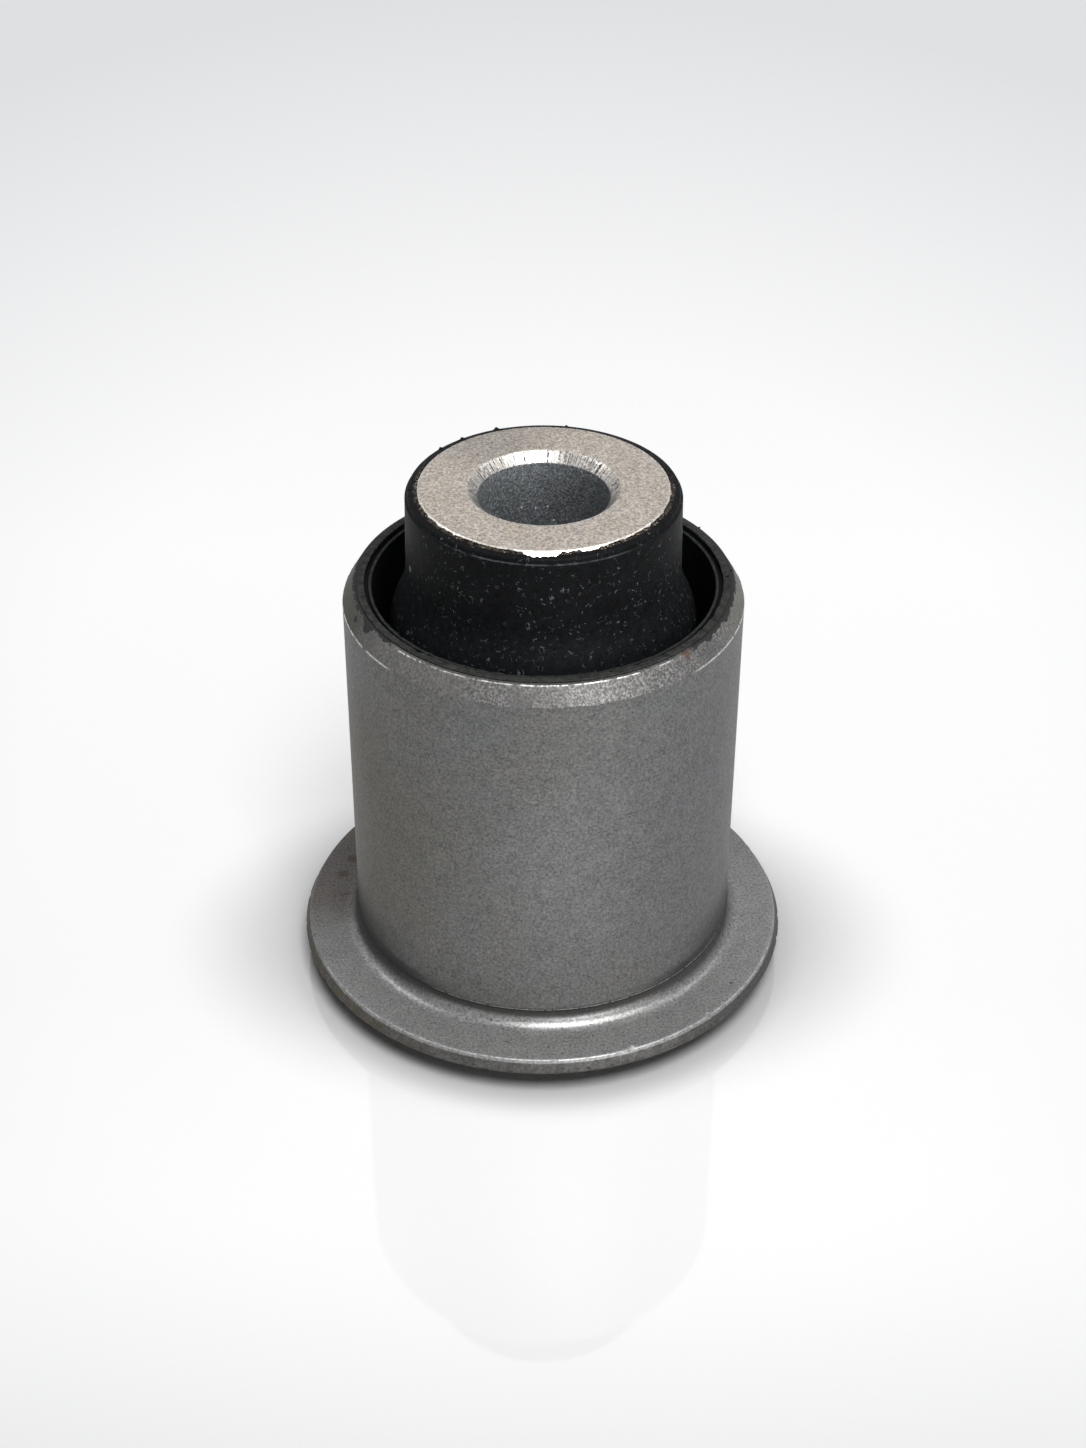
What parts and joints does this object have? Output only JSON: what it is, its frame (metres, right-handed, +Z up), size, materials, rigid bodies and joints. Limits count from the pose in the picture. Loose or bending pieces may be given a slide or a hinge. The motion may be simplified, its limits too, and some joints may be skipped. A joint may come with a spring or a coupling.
{
  "type": "rubber metal bush",
  "caption": "Bonded rubber metal bush: thick inner sleeve for a bolt, rubber body with end grooves, and a thin flanged outer sleeve that presses into an eye.",
  "frame": {"origin": "centre of the lower end face of the inner sleeve, on which the bush stands", "axes": "+Z up along the bush's axis, from the flanged end to the lead-in end; X and Y are free, because every form is turned about Z"},
  "size_m": [0.0568, 0.0568, 0.062],
  "materials": {
    "outer_sleeve": "dull grey phosphate with a fine grain, bright at the worn edges",
    "rubber": "moulded natural rubber, satin black with pale lint and scuffs",
    "inner_sleeve": "shot-blasted bare steel end faces, grey scaled bore"
  },
  "bodies": {
    "root": {"outer_sleeve": "outer_sleeve", "rubber_body": "rubber", "inner_sleeve": "inner_sleeve"}
  },
  "joints": []
}
